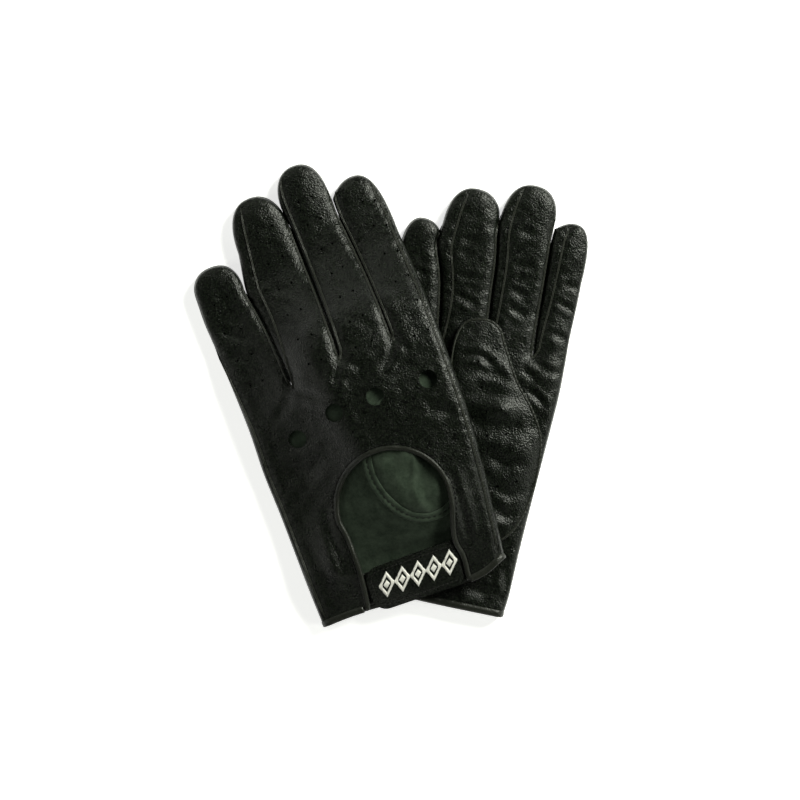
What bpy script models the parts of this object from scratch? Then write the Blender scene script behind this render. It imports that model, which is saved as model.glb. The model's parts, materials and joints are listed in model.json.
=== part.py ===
"""A pair of unlined leather driving gloves, laid flat and fanned about the wrist.

The left glove lies back up on top of the right one, which lies palm up, and
each thumb is folded in against its own palm.  Each glove is cut as the real
one is: a back panel, a palm panel, three fourchettes between the fingers, a
two-piece thumb, bindings on the raw edges, and a wrist strap that closes on a
tab.  Every leather piece is a thin solid, so the hand, the fingers and the
thumb are hollow.

Glove frame, in millimetres: x runs to the index finger, y from the wrist hem
to the fingertips, z from the palm to the back of the hand.  The right glove
has the same plan, turned over in z.  World: metres, +Z up, origin under the
middle of the pair, on the surface it lies on.
"""
from math import cos, hypot, pi, radians, sin

import bpy
from mathutils import Matrix, Vector

MM = 0.001
GAP = 0.3                 # clearance between neighbouring pieces

# --- how the pair lies -------------------------------------------------------
LEFT_FAN = 19.5           # degrees, left glove turned to the left
RIGHT_FAN = -14.4         # degrees, right glove turned to the right

# --- leather and thicknesses -------------------------------------------------
LEATHER = 1.0
HAND_DEPTH = 11.0         # palm face to back face of a glove lying flat
THUMB_DEPTH = 7.0
BINDING_WIDTH = 2.5
HEM_WIDTH = 3.0
FOURCHETTE = 0.8

# --- plan of each hand -------------------------------------------------------
# The side edges run from the hem to the outer fingers' tips.  A fingertip is the two
# shoulders where its round end begins, and its top.  The right glove lies palm up with
# its fingers drawn together, so its plan is narrower than the left one's.
PLANS = {
    "left": {
        "little_side": [(-50, 0), (-52, 60), (-53, 85), (-52, 110), (-54, 145)],
        "index_side": [(60, 140), (60, 85), (57.5, 45), (53.5, 8), (53, 0)],
        "fingertips": {
            "little": ((-56, 184), (-30.5, 182), 198),
            "ring": ((-28.3, 198), (4, 205), 227),
            "middle": ((4.8, 205), (29.9, 207), 234.5),
            "index": ((30.7, 205), (58, 192), 220),
        },
        "crotches": {
            "little_ring": (-22.5, 124.5),
            "ring_middle": (6, 130),
            "middle_index": (35.5, 130),
        },
        "knuckle_holes": [(-29, 96.5), (-6, 103.1), (17, 104), (46, 103.4)],
    },
    "right": {
        "little_side": [(-48, 0), (-50, 60), (-50.5, 110), (-51, 145)],
        "index_side": [(51, 140), (50, 85), (50.5, 30), (50, 0)],
        "fingertips": {
            "little": ((-52, 177), (-33, 184), 194.5),
            "ring": ((-32.2, 194), (-4, 200), 216),
            "middle": ((-3.2, 204), (25, 206), 225.5),
            "index": ((25.8, 203), (49, 186), 210.5),
        },
        "crotches": {
            "little_ring": (-19, 126),
            "ring_middle": (4.5, 134),
            "middle_index": (31, 138),
        },
        "knuckle_holes": [(-26, 96.5), (-5, 103.1), (16, 104), (40, 103.4)],
    },
}
FINGERTIP_SQUARENESS = 2.3
NOTCH = 0.8               # width of the slit between two fingers at its foot
KNUCKLE_RADIUS = 4.75

# --- wrist window and slit ---------------------------------------------------
WINDOW_CENTRE = (7, 45)
WINDOW_RADIUS = 31
SLIT_LEFT = [(-23.5, 0), (-21.5, 20)]
SLIT_RIGHT = [(31, 20), (31, 0)]

# --- thumb -------------------------------------------------------------------
THUMB_OUTLINE = [
    (3, 150), (-8, 146), (-11.5, 134), (-9, 112), (-5, 92), (-2, 74),
    (3, 56), (12, 41), (24, 34), (36, 36), (45, 47), (49, 64), (49, 82),
    (46, 97), (38, 110), (27, 122), (16, 139), (11, 147),
]
THUMB_PIVOT = (24, 62)
THUMB_HOLE = 20           # radius of the way from the hand into the thumb

# --- strap and its fastening -------------------------------------------------
STRAP_TIP, STRAP_ROOT = -20, 30.7
STRAP_LOW, STRAP_HIGH = -3.5, 20
STRAP_CORNER = 7
HINGE_X = 31
STRAP_LEATHER = 0.8
BACKING = 0.5
PAD = 0.6                 # hook pad and loop pad alike
EMBLEM = 0.4
TAB = 0.5
# Tops of the strap's layers, the emblem level with the face of the back panel.
STRAP_TOP = HAND_DEPTH - EMBLEM - GAP
BACKING_TOP = STRAP_TOP - STRAP_LEATHER - GAP
HOOK_TOP = BACKING_TOP - BACKING - GAP
LOOP_TOP = HOOK_TOP - PAD - GAP
TAB_TOP = LOOP_TOP - PAD - GAP

# --- levels of the two gloves above the surface ------------------------------
LEFT_BASE = HAND_DEPTH + 2 * (GAP + THUMB_DEPTH) + GAP

BLACK_LEATHER = ((0.018, 0.019, 0.018, 1), 0.45)
BINDING_LEATHER = ((0.022, 0.022, 0.021, 1), 0.4)
SUEDE = ((0.045, 0.062, 0.05, 1), 0.95)
FASTENER_PILE = ((0.012, 0.012, 0.013, 1), 0.85)
WHITE_THREAD = ((0.8, 0.79, 0.76, 1), 0.6)


# --- outlines ----------------------------------------------------------------
def arc(centre, radius, start, end, steps):
    """Points on a circle, from one angle in degrees to another."""
    turns = [radians(start + (end - start) * i / steps) for i in range(steps + 1)]
    return [(centre[0] + radius * cos(t), centre[1] + radius * sin(t)) for t in turns]


def circle(centre, radius, steps):
    """A closed circle, its last point one step before its first."""
    return arc(centre, radius, 0, 360, steps)[:-1]


def smooth_loop(points, steps=3):
    """A closed Catmull-Rom curve through a few points."""
    out = []
    count = len(points)
    for i in range(count):
        a, b, c, d = (Vector(points[(i + k) % count]) for k in (-1, 0, 1, 2))
        for k in range(steps):
            t = k / steps
            out.append(tuple(0.5 * (2 * b + (c - a) * t + (2 * a - 5 * b + 4 * c - d) * t ** 2
                                    + (3 * b - a - 3 * c + d) * t ** 3)))
    return out


def fingertip(left, right, top, inset=0.0, steps=10):
    """A squarish half oval from the left shoulder over the top to the right one."""
    middle_x = (left[0] + right[0]) / 2
    half = (right[0] - left[0]) / 2 - inset
    out = []
    for i in range(steps + 1):
        t = pi * (1 - i / steps)
        across = abs(cos(t)) ** (2 / FINGERTIP_SQUARENESS) * (1 if cos(t) > 0 else -1)
        up = abs(sin(t)) ** (2 / FINGERTIP_SQUARENESS)
        foot = left[1] + (right[1] - left[1]) * i / steps
        out.append((middle_x + half * across, foot + (top - inset - foot) * up))
    return out


def offset(points, distance, closed=False):
    """The path moved to its left by a distance, corners kept sharp."""
    out = []
    count = len(points)
    for i, point in enumerate(points):
        before = points[i - 1] if closed or i > 0 else None
        after = points[(i + 1) % count] if closed or i < count - 1 else None
        normals = []
        for a, b in ((before, point), (point, after)):
            if a is not None and b is not None:
                length = hypot(b[0] - a[0], b[1] - a[1])
                normals.append(Vector((a[1] - b[1], b[0] - a[0])) / length)
        mean = sum(normals, Vector((0, 0))).normalized()
        out.append(tuple(Vector(point) + mean * distance / mean.dot(normals[0])))
    return out


def band(path, width):
    """The closed outline of a strip of one width along an open path."""
    return offset(path, width / 2) + offset(path, -width / 2)[::-1]


def hand_outline(plan):
    """The glove's plan with its four fingers, clockwise from the hem's little-finger corner."""
    feet = list(plan["crotches"].values())
    points = list(plan["little_side"])
    for number, tip in enumerate(plan["fingertips"].values()):
        points += fingertip(*tip)
        if number < len(feet):
            x, y = feet[number]
            points += [(x - NOTCH / 2, y), (x + NOTCH / 2, y)]
    return points + plan["index_side"]


def hollow_outline(plan):
    """What is cut from a panel to leave a rim on its outer sides and round its fingertips."""
    past_hem = -1.0
    points = [(x + LEATHER, y if y else past_hem) for x, y in plan["little_side"]]
    for number, tip in enumerate(plan["fingertips"].values()):
        if number:
            (x, y) = points[-1]
            points.append((x + LEATHER + GAP, y))
            points.append((tip[0][0] - GAP, tip[0][1]))
        points += fingertip(*tip, inset=LEATHER)
    return points + [(x - LEATHER, y if y else past_hem) for x, y in plan["index_side"]]


def window_edge():
    """The visible edge of the wrist opening, from the hem up, over the arch and down."""
    return SLIT_LEFT + arc(WINDOW_CENTRE, WINDOW_RADIUS, 200, -27, 22) + SLIT_RIGHT


def window_cut():
    """The hole in the back panel, which leaves room for the binding and runs past the hem."""
    edge = offset(window_edge(), BINDING_WIDTH + GAP)
    return [(edge[0][0], -5)] + edge + [(edge[-1][0], -5)]


def diamond_chain(x_low, x_high, y_low, y_high, diamonds):
    """A row of diamonds that meet in short necks."""
    step = (x_high - x_low) / diamonds
    middle, half, neck = (y_low + y_high) / 2, (y_high - y_low) / 2, 0.8
    upper = []
    for i in range(diamonds):
        upper += [(x_low + i * step, middle + neck), (x_low + (i + 0.5) * step, middle + half)]
    upper.append((x_high, middle + neck))
    return upper + [(x, 2 * middle - y) for x, y in reversed(upper)]


# --- solids ------------------------------------------------------------------
def make_material(name, finish):
    """A plain Principled material of one colour and roughness."""
    colour, roughness = finish
    material = bpy.data.materials.new(name)
    material.use_nodes = True
    shader = material.node_tree.nodes["Principled BSDF"]
    shader.inputs["Base Color"].default_value = colour
    shader.inputs["Roughness"].default_value = roughness
    return material


def welded(curve_object, collection):
    """The curve's solid as a mesh object with its caps welded on."""
    bpy.context.view_layer.update()
    graph = bpy.context.evaluated_depsgraph_get()
    mesh = bpy.data.meshes.new_from_object(curve_object.evaluated_get(graph))
    name = curve_object.name
    bpy.data.objects.remove(curve_object)
    solid = bpy.data.objects.new(name, mesh)
    collection.objects.link(solid)
    weld = solid.modifiers.new("caps", "WELD")
    weld.merge_threshold = 0.00001
    return solid


def plate(name, loops, low, high, collection):
    """A flat piece between two levels; the first loop is its edge, the others are holes."""
    curve = bpy.data.curves.new(name, "CURVE")
    curve.dimensions = "2D"
    curve.fill_mode = "BOTH"
    curve.extrude = (high - low) / 2 * MM
    for loop in loops:
        spline = curve.splines.new("POLY")
        spline.points.add(len(loop) - 1)
        for point, (x, y) in zip(spline.points, loop):
            point.co = (x * MM, y * MM, 0, 1)
        spline.use_cyclic_u = True
    carrier = bpy.data.objects.new(name, curve)
    collection.objects.link(carrier)
    solid = welded(carrier, collection)
    solid.location = (0, 0, (low + high) / 2 * MM)
    return solid


class Glove:
    """One glove: its own empty, and how its z levels map to the world's."""

    def __init__(self, side, fan, base, palm_up, centre):
        self.side = side
        self.plan = PLANS[side]
        self.palm_up = palm_up
        self.base = base
        self.pieces = bpy.data.collections["driving_gloves"]
        self.cutters = bpy.data.collections["cutters"]
        self.root = self.empty("glove", None, (-centre[0], -centre[1], 0))
        self.root.rotation_euler = (0, 0, radians(fan))

    def empty(self, name, parent, place):
        """A named pivot."""
        pivot = bpy.data.objects.new(f"{self.side}_{name}_pivot", None)
        pivot.location = Vector(place) * MM
        pivot.parent = parent
        self.pieces.objects.link(pivot)
        return pivot

    def level(self, z):
        """The world height of a level of the glove."""
        return self.base + (HAND_DEPTH - z if self.palm_up else z)

    def levels(self, low, high):
        """A pair of glove levels as world heights, lowest first."""
        return sorted((self.level(low), self.level(high)))

    def attach(self, solid, name, finish, pivot=None):
        """Names a solid, gives it its own material, and hangs it on its pivot."""
        solid.name = f"{self.side}_{name}"
        solid.data.materials.clear()
        solid.data.materials.append(make_material(solid.name, finish))
        solid.parent = pivot or self.root
        if pivot:
            solid.matrix_parent_inverse = Matrix.Translation(-pivot.location)
        return solid

    def flat(self, name, loops, low, high, finish, pivot=None):
        """A flat piece between two glove levels."""
        solid = plate(name, loops, *self.levels(low, high), self.pieces)
        return self.attach(solid, name, finish, pivot)

    def tray(self, name, loops, low, high, inner, rim_to, finish, pivot=None):
        """A panel with a rim: a thick plate, hollowed from its inner side."""
        outer_face, inner_face = (high, low) if rim_to < low else (low, high)
        solid = self.flat(name, loops, outer_face, rim_to, finish, pivot)
        beyond = rim_to + (rim_to - inner_face)
        cutter = plate(f"{name}_hollow", [inner], *self.levels(inner_face, beyond), self.cutters)
        cutter.parent = solid.parent
        cutter.matrix_parent_inverse = solid.matrix_parent_inverse
        cutter.hide_render = True
        cutter.display_type = "WIRE"
        cut = solid.modifiers.new("hollow", "BOOLEAN")
        cut.object = cutter
        cut.operation = "DIFFERENCE"
        cut.solver = "EXACT"
        return solid

    def strip(self, name, path, thickness, y_low, y_high, finish):
        """A bent strip: a path in x and z given a thickness, run along y."""
        profile = [(x, self.level(z)) for x, z in band(path, thickness)]
        solid = plate(name, [profile], 0, y_high - y_low, self.pieces)
        solid.rotation_euler = (pi / 2, 0, 0)
        solid.location = (0, (y_low + y_high) / 2 * MM, 0)
        return self.attach(solid, name, finish)

    # --- the leather shell ---------------------------------------------------
    def panels(self):
        """The back with its knuckle holes and wrist window, and the palm with its thumb hole."""
        holes = [circle(centre, KNUCKLE_RADIUS, 16)
                 for centre in self.plan["knuckle_holes"]]
        seam = HAND_DEPTH / 2
        back = self.tray("back_panel", [hand_outline(self.plan)] + holes,
                         HAND_DEPTH - LEATHER, HAND_DEPTH, hollow_outline(self.plan),
                         seam + GAP / 2, BLACK_LEATHER)
        window = plate("window_hole", [window_cut()],
                       *self.levels(seam, HAND_DEPTH + 1), self.cutters)
        window.parent = self.root
        window.hide_render = True
        window.display_type = "WIRE"
        cut = back.modifiers.new("window", "BOOLEAN")
        cut.object = window
        cut.operation = "DIFFERENCE"
        cut.solver = "EXACT"
        thumb_hole = circle(THUMB_PIVOT, THUMB_HOLE, 32)
        self.tray("palm_panel", [hand_outline(self.plan), thumb_hole], 0, LEATHER,
                  hollow_outline(self.plan), seam - GAP / 2, BLACK_LEATHER)

    def fourchettes(self):
        """The hairpin strips that wall the two sides of each slit between fingers."""
        tips = list(self.plan["fingertips"].values())
        inside = GAP + FOURCHETTE / 2
        for number, (name, (x, y)) in enumerate(self.plan["crotches"].items()):
            down_x, down_y = tips[number][1]
            up_x, up_y = tips[number + 1][0]
            foot = NOTCH / 2 + inside
            path = [(down_x - inside, down_y - GAP), (x - foot, y),
                    (x - foot / 2, y - foot), (x + foot / 2, y - foot),
                    (x + foot, y), (up_x + inside, up_y - GAP)]
            self.flat(f"fourchette_{name}", [band(path, FOURCHETTE)],
                      LEATHER + GAP, HAND_DEPTH - LEATHER - GAP, BLACK_LEATHER)

    def bindings(self):
        """The folded strips that finish the wrist opening and the hem."""
        centre_line = offset(window_edge(), BINDING_WIDTH / 2)
        self.flat("window_binding", [band(centre_line, BINDING_WIDTH)],
                  HAND_DEPTH - LEATHER - 0.4, HAND_DEPTH, BINDING_LEATHER)
        middle = LEATHER / 2
        edge_gap = BINDING_WIDTH + 2 * GAP
        left = self.plan["little_side"][0][0] + middle
        right = self.plan["index_side"][-1][0] - middle
        top = HAND_DEPTH - middle
        path = [(SLIT_LEFT[0][0] - edge_gap, top), (left + 1, top), (left, top - 1),
                (left, middle + 1), (left + 1, middle), (right - 1, middle),
                (right, middle + 1), (right, top - 1), (right - 1, top),
                (SLIT_RIGHT[-1][0] + edge_gap, top)]
        self.strip("hem_binding", path, LEATHER, -GAP - HEM_WIDTH, -GAP, BINDING_LEATHER)

    # --- the thumb -----------------------------------------------------------
    def thumb(self):
        """Two trays, the outer one perforated, that swing about the thumb hole."""
        pivot = self.empty("thumb", self.root, (*THUMB_PIVOT, 0))
        outline = smooth_loop(THUMB_OUTLINE)
        inner = offset(outline, LEATHER, closed=True)
        hole = circle(THUMB_PIVOT, THUMB_HOLE, 32)
        palm_side = -GAP
        far_side = palm_side - THUMB_DEPTH
        seam = (palm_side + far_side) / 2
        self.tray("thumb_inner", [outline, hole], palm_side - LEATHER, palm_side,
                  inner, seam + GAP / 2, BLACK_LEATHER, pivot)
        self.tray("thumb_outer", [outline], far_side, far_side + LEATHER,
                  inner, seam - GAP / 2, BLACK_LEATHER, pivot)

    # --- the wrist strap -----------------------------------------------------
    def strap_outline(self, margin):
        """The strap's plan, with two round corners at its free end."""
        low, high = STRAP_LOW + margin, STRAP_HIGH - margin
        tip, root = STRAP_TIP + margin, STRAP_ROOT - margin / 2
        radius = STRAP_CORNER - margin
        return ([(root, low), (root, high)]
                + arc((tip + radius, high - radius), radius, 90, 180, 6)
                + arc((tip + radius, low + radius), radius, 180, 270, 6))

    def strap(self):
        """The strap, its suede underside, its hook pad and its embroidery, on one hinge."""
        pivot = self.empty("strap", self.root, (HINGE_X, 0, self.level(HAND_DEPTH)))
        self.flat("strap", [self.strap_outline(0)], STRAP_TOP - STRAP_LEATHER, STRAP_TOP,
                  BLACK_LEATHER, pivot)
        self.flat("strap_backing", [self.strap_outline(0.6)], BACKING_TOP - BACKING, BACKING_TOP,
                  SUEDE, pivot)
        pad = [(-15, 0), (12, 0), (12, 16.5), (-15, 16.5)]
        self.flat("hook_pad", [pad], HOOK_TOP - PAD, HOOK_TOP, FASTENER_PILE, pivot)
        self.flat("strap_emblem", [diamond_chain(-13, 27, 3.5, 13.5, 5)],
                  HAND_DEPTH - EMBLEM, HAND_DEPTH, WHITE_THREAD, pivot)

    def closure(self):
        """The tab sewn under the little-finger side, with the loop pad the strap closes on."""
        flat_z = TAB_TOP - TAB / 2
        sewn_z = HAND_DEPTH - LEATHER - 1.2
        path = [(-38, sewn_z), (-27, sewn_z), (-20, flat_z), (16, flat_z)]
        self.strip("closure_tab", path, TAB, -0.5, 18.5, BLACK_LEATHER)
        pad = [(-17, 0.5), (14, 0.5), (14, 17.5), (-17, 17.5)]
        self.flat("loop_pad", [pad], LOOP_TOP - PAD, LOOP_TOP, FASTENER_PILE)

    def build(self):
        """Every piece of the glove."""
        self.panels()
        self.fourchettes()
        self.bindings()
        self.thumb()
        self.strap()
        self.closure()


def pair_centre():
    """The middle of the two gloves' plan box, about the point where their hems cross."""
    points = []
    for plan, fan in ((PLANS["left"], LEFT_FAN), (PLANS["right"], RIGHT_FAN)):
        turn = Matrix.Rotation(radians(fan), 2)
        corners = (plan["little_side"][0][0], plan["index_side"][-1][0])
        hem = [(x, -GAP - HEM_WIDTH) for x in corners]
        points += [turn @ Vector(p) for p in hand_outline(plan) + hem]
    xs, ys = [p.x for p in points], [p.y for p in points]
    return (min(xs) + max(xs)) / 2, (min(ys) + max(ys)) / 2


def main():
    for item in list(bpy.data.objects):
        bpy.data.objects.remove(item)
    for name in ("driving_gloves", "cutters"):
        bpy.context.scene.collection.children.link(bpy.data.collections.new(name))
    centre = pair_centre()
    Glove("left", LEFT_FAN, LEFT_BASE, False, centre).build()
    Glove("right", RIGHT_FAN, 0.0, True, centre).build()
    bpy.context.view_layer.update()


main()
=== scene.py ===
"""The looks of a pair of black leather driving gloves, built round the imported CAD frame.

Lengths in this script are millimetres until a mesh is made.  Each glove is drawn in its
own flat plan (x to the index finger, y from the hem to the fingertips), raised into a
puffed shell of two sheets, cut into its leather pieces along its seams, and laid in the
place that the CAD back panel has.  The left glove then drapes over the right one.
"""
import json
from math import cos, pi, radians, sin

import bmesh
import bpy
import numpy as np
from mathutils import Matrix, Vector
from mathutils.geometry import delaunay_2d_cdt

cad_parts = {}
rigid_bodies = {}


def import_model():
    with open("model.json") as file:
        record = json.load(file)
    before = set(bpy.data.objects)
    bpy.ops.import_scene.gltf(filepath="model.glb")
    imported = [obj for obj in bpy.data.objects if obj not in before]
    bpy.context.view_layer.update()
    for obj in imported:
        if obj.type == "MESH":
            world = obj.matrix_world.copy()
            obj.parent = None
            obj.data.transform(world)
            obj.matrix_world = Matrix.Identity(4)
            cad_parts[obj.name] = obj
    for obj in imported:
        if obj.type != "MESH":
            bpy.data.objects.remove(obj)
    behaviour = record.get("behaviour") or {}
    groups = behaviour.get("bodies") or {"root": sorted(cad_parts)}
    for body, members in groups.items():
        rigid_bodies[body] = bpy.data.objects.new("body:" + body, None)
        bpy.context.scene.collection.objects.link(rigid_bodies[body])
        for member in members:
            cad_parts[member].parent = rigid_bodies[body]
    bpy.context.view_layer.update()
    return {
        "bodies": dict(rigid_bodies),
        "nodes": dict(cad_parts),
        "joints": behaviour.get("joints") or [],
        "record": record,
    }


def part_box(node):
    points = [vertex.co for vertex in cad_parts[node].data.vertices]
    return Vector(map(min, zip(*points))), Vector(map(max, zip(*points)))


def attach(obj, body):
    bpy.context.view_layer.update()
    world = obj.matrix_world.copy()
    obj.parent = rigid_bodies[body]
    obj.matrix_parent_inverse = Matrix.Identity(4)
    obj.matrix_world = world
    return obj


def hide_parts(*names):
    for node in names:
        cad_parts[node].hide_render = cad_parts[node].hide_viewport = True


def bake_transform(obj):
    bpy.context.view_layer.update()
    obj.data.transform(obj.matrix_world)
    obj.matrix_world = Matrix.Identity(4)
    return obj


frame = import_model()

MM = 0.001
FINE = 1.35      # spacing of the leather meshes
EDGE = 1.1                              # spacing along cut edges

# --- how the gloves lie, as in the CAD ----------------------------------------
FAN = {"left": radians(19.5), "right": radians(-14.4)}
HEM_FROM_CENTRE = {"left": (32.71, -105.36), "right": (-24.78, -101.89)}
LEATHER = 0.9
TOP_HEIGHT = 6.3                        # upper sheet above the glove's middle plane
BOTTOM_HEIGHT = 4.7
FLOOR_CLEARANCE = 0.6
LIP, LIP_SHARE = 1.3, 0.48              # the quick roll at the very edge of a sheet
RING_DEPTHS = (0.08, 0.28, 0.6, 1.0, 1.6, 2.6, 4.2)
NOTCH = 0.4                             # width of the gap between two fingers
SQUARENESS = 2.3                        # of the fingertips: 2 is an ellipse
LOWER_REACH = [(2, 4, 4)] * 3           # as upper_reach below, for the sheet underneath
WRAP_TOP = 158                          # where the little finger's outer seam meets its edge
BEYOND = 260                            # past every fingertip

PLANS = {
    "left": {
        "little_side": [(-49.4, 0), (-50.2, 20), (-51.2, 60), (-52.3, 85), (-52, 110),
                        (-53.3, 140), (-55, 168)],
        "index_side": [(58.3, 170), (59.4, 150), (60.2, 125), (60.3, 110), (60, 80), (58, 50), (56, 30),
                       (54, 12), (53, 3.5)],
        "hem": [(-49.4, 0), (-25.5, 0.6), (31, -2.6), (53, 3.5)],
        "fingertips": [((-55, 184), (-29.4, 182), 197.3), ((-26.2, 199), (3.9, 204), 225),
                       ((3.1, 214), (29.8, 212), 233.3), ((30.4, 209.5), (57.4, 180), 217.8)],
        "notches": [
            [(-22.5, 124.5), (-23.3, 135), (-24.6, 150), (-26.6, 165), (-29.2, 178)],
            [(6, 130), (6.4, 140), (6.2, 160), (5.3, 180), (4.5, 200)],
            [(35.5, 130), (35.2, 145), (34.1, 165), (32.3, 185), (30.4, 201)]],
        # How far the fourchette shows beside each notch, at its foot, half way and tip.
        "upper_reach": [(1.5, 4.6, 7), (2, 2.5, 2.6), (1.2, 1.1, 1.2)],
        "strap_low": -3.5, "slit_feet": (0.0, -2.8),
        "knuckles": [(-29, 96.5), (-6, 103.1), (17, 104), (46, 103.4)],
        # Each row is a pair of holes: left x and y, right x and y.
        "perforations": [
            (-43, 131.5, -36, 131.8), (-45, 146, -37, 146.7), (-47, 161.8, -38, 161.4),
            (-47, 177.6, -39.3, 179.6),
            (-10, 131.5, -3, 131.5), (-11, 145.5, -3.5, 145.5), (-12, 159.5, -4.5, 160),
            (-12, 174, -4.5, 175), (-13, 188.5, -4.5, 190), (-12.5, 206, -4.5, 207),
            (16, 131.5, 25, 132), (17.5, 145, 25, 146), (17, 159, 24.5, 160),
            (17, 172.5, 23.5, 174), (16, 186.5, 22.5, 187.5), (13.5, 201, 21, 202),
            (13, 214, 20.5, 214.5),
            (46.5, 127, 54.5, 127.5), (47, 143, 54.5, 144), (47, 157, 54.5, 158),
            (46.5, 173, 53.5, 172), (46, 189, 52.5, 187), (45, 203, 51, 201.5)],
    },
    "right": {
        "little_side": [(-48, 0), (-50, 60), (-50.5, 110), (-51.5, 160)],
        "index_side": [(47.3, 168), (47.9, 150), (49, 136), (50, 118), (50, 90), (50, 40),
                       (50.6, 12), (50, 1)],
        "hem": [(-48, 0), (0, -1), (50, 1)],
        "fingertips": [((-51, 176), (-32.7, 188), 193.4), ((-32.3, 194), (-4.1, 201), 215.4),
                       ((-3.4, 204), (25.2, 207), 224.6), ((25.7, 205), (46.6, 181), 210.2)],
        "notches": [
            [(-19, 126), (-21.6, 145), (-26, 165), (-32.4, 181)],
            [(4.5, 134), (3.8, 150), (1.9, 165), (0.3, 180), (-3.3, 197)],
            [(31, 138), (29.6, 150), (28.2, 170), (26.4, 190), (25.5, 199)]],
        "upper_reach": [(2, 6, 7.5), (3.5, 5.4, 6), (2.5, 5, 6.5)],
        "strap_low": 1.5, "slit_feet": (-0.6, -0.6),
        "knuckles": [(-26, 96.5), (-5, 103.1), (16, 104), (40, 103.4)],
        "perforations": [
            (-38, 131.5, -30, 131.8), (-41, 146, -33, 146.5), (-43, 161.5, -35, 161.5),
            (-44, 174, -37, 175),
            (-11, 135, -3, 135.5), (-14, 150, -6, 150.5), (-17, 165, -9, 166),
            (-19, 180, -11, 181), (-21, 194, -14, 195),
            (14, 138, 22, 138.5), (13, 154, 21, 154.5), (12, 170, 20, 170.5),
            (10, 187, 18, 187.5), (8, 205, 15, 206),
            (37, 135, 45, 135), (36, 149, 44, 149.5), (36, 163, 44, 163.5),
            (35, 178, 42, 178.5), (35, 191, 41, 191)],
    },
}
WINDOW_CENTRE, WINDOW_RADIUS = (7.2, 47.2), 30
SLIT_LEFT, SLIT_RIGHT = [(-23.5, 2), (-21.3, 20)], [(31.2, 21), (32.3, 10)]
KNUCKLE_RADIUS = 4.75
PERFORATION_RADIUS = 0.65
THUMB_OUTLINE = [
    (3, 150), (-8, 146), (-11.5, 134), (-9, 112), (-5, 92), (-2, 74),
    (3, 56), (12, 41), (24, 34), (36, 36), (45, 47), (49, 64), (49, 82),
    (46, 97), (38, 110), (27, 122), (16, 139), (11, 147),
]
THUMB_PIVOT = (24, 62)
THUMB_ROWS = [(4, 127, 12.5, 131), (9, 114.5, 18, 118.5), (14.5, 102.5, 22, 105.5),
              (18, 90.5, 27.5, 94), (30, 66, 39, 71)]
THUMB_HOLES = {"left": ((26, 68), (21.5, 29.5)), "right": ((23, 66), (17.5, 27))}
THUMB_TOPS, THUMB_RIMS = {"left": 3.6, "right": 5.3}, {"left": 13.0, "right": 19.0}
ALLOWANCE = 5.4
STRAP = {"tip": -20, "root": 33.5, "high": 20, "corner": 7.5}

# Creases pressed into the upper sheets: points in the plan, depth and half width.
CREASES = {
    "left": [
        ([(-27.5, 58), (-29, 40), (-27, 20)], 0.6, 2.4),
        ([(41, 56), (40, 36), (38, 14)], 0.9, 1.8),
        ([(-22, 122), (-15, 116), (-7, 113)], 0.7, 2.0),
        ([(-24, 121), (-30, 114), (-38, 109)], 0.6, 2.2),
        ([(6, 127), (1, 120), (-1, 114)], 0.6, 1.8), ([(8, 127), (15, 121)], 0.5, 1.6),
        ([(36, 127), (30, 120), (25, 117)], 0.7, 1.8), ([(37, 127), (43, 121)], 0.5, 1.6),
        ([(-50, 166), (-42, 158), (-34, 155)], 0.45, 2.4),
        ([(-48, 150), (-38, 144)], 0.35, 2.0), ([(-18, 158), (-8, 151)], 0.5, 2.2),
        ([(-16, 176), (-4, 170)], 0.35, 2.2), ([(11, 172), (22, 163), (29, 161)], 0.5, 2.4),
        ([(12, 150), (24, 144)], 0.4, 2.0), ([(39, 160), (50, 150)], 0.4, 2.4),
        ([(-44, 84), (-30, 80), (-20, 82)], 0.5, 3.5), ([(40, 88), (52, 84)], 0.5, 3.0),
        ([(47, 60), (49, 30), (46, 10)], 0.25, 3.0),
        ([(-42, 45), (-40, 20), (-42, 4)], 0.6, 3.2),
    ],
    "right": [
        ([(33, 119), (38, 117), (44, 113)], 0.8, 1.6), ([(27, 129), (36, 126)], 0.5, 1.8),
        ([(34, 134), (42, 131), (49, 132)], 0.4, 1.8), ([(12, 159), (24, 156)], 0.5, 1.7),
        ([(10, 168), (22, 167)], 0.4, 1.6), ([(9, 181), (20, 183)], 0.35, 1.8),
        ([(7, 200), (19, 198)], 0.35, 1.8), ([(36, 168), (47, 165)], 0.45, 1.6),
        ([(36, 178), (47, 177)], 0.35, 1.6), ([(35, 152), (48, 149)], 0.4, 1.8),
        ([(-17, 158), (-4, 156)], 0.5, 1.7), ([(-18, 168), (-5, 170)], 0.4, 1.6),
        ([(-22, 187), (-10, 189)], 0.35, 1.8), ([(45, 26), (48, 14), (44, 4)], 0.7, 1.8),
        ([(20, 14), (34, 10), (46, 12)], 0.5, 2.6), ([(-40, 166), (-32, 164)], 0.4, 1.6),
    ],
}


# --- plan geometry ------------------------------------------------------------
def travel(path):
    """How far along a path each of its points is."""
    return np.concatenate([[0], np.cumsum(np.linalg.norm(np.diff(path, axis=0), axis=1))])


def pick(rows, steps, places):
    """Rows that belong to steps along a path, read off at other places along it."""
    return np.column_stack([np.interp(places, steps, column) for column in rows.T])


def resample(points, step):
    """The same path with its points a step apart."""
    points = np.asarray(points, float)
    length = travel(points)
    places = np.linspace(0, length[-1], max(2, int(round(length[-1] / step)) + 1))
    return pick(points, length, places)


def unit(rows):
    """Vectors made one long."""
    return rows / np.linalg.norm(rows, axis=-1, keepdims=True)


def axes(ahead, normals):
    """Unit vectors along, across and up, from directions and rough normals."""
    along = unit(ahead)
    across = unit(np.cross(along, normals))
    return along, across, np.cross(across, along)


def offset_path(path, distance):
    """A path moved to its left."""
    along = unit(np.gradient(path, axis=0))
    return path + np.column_stack([-along[:, 1], along[:, 0]]) * distance


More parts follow.
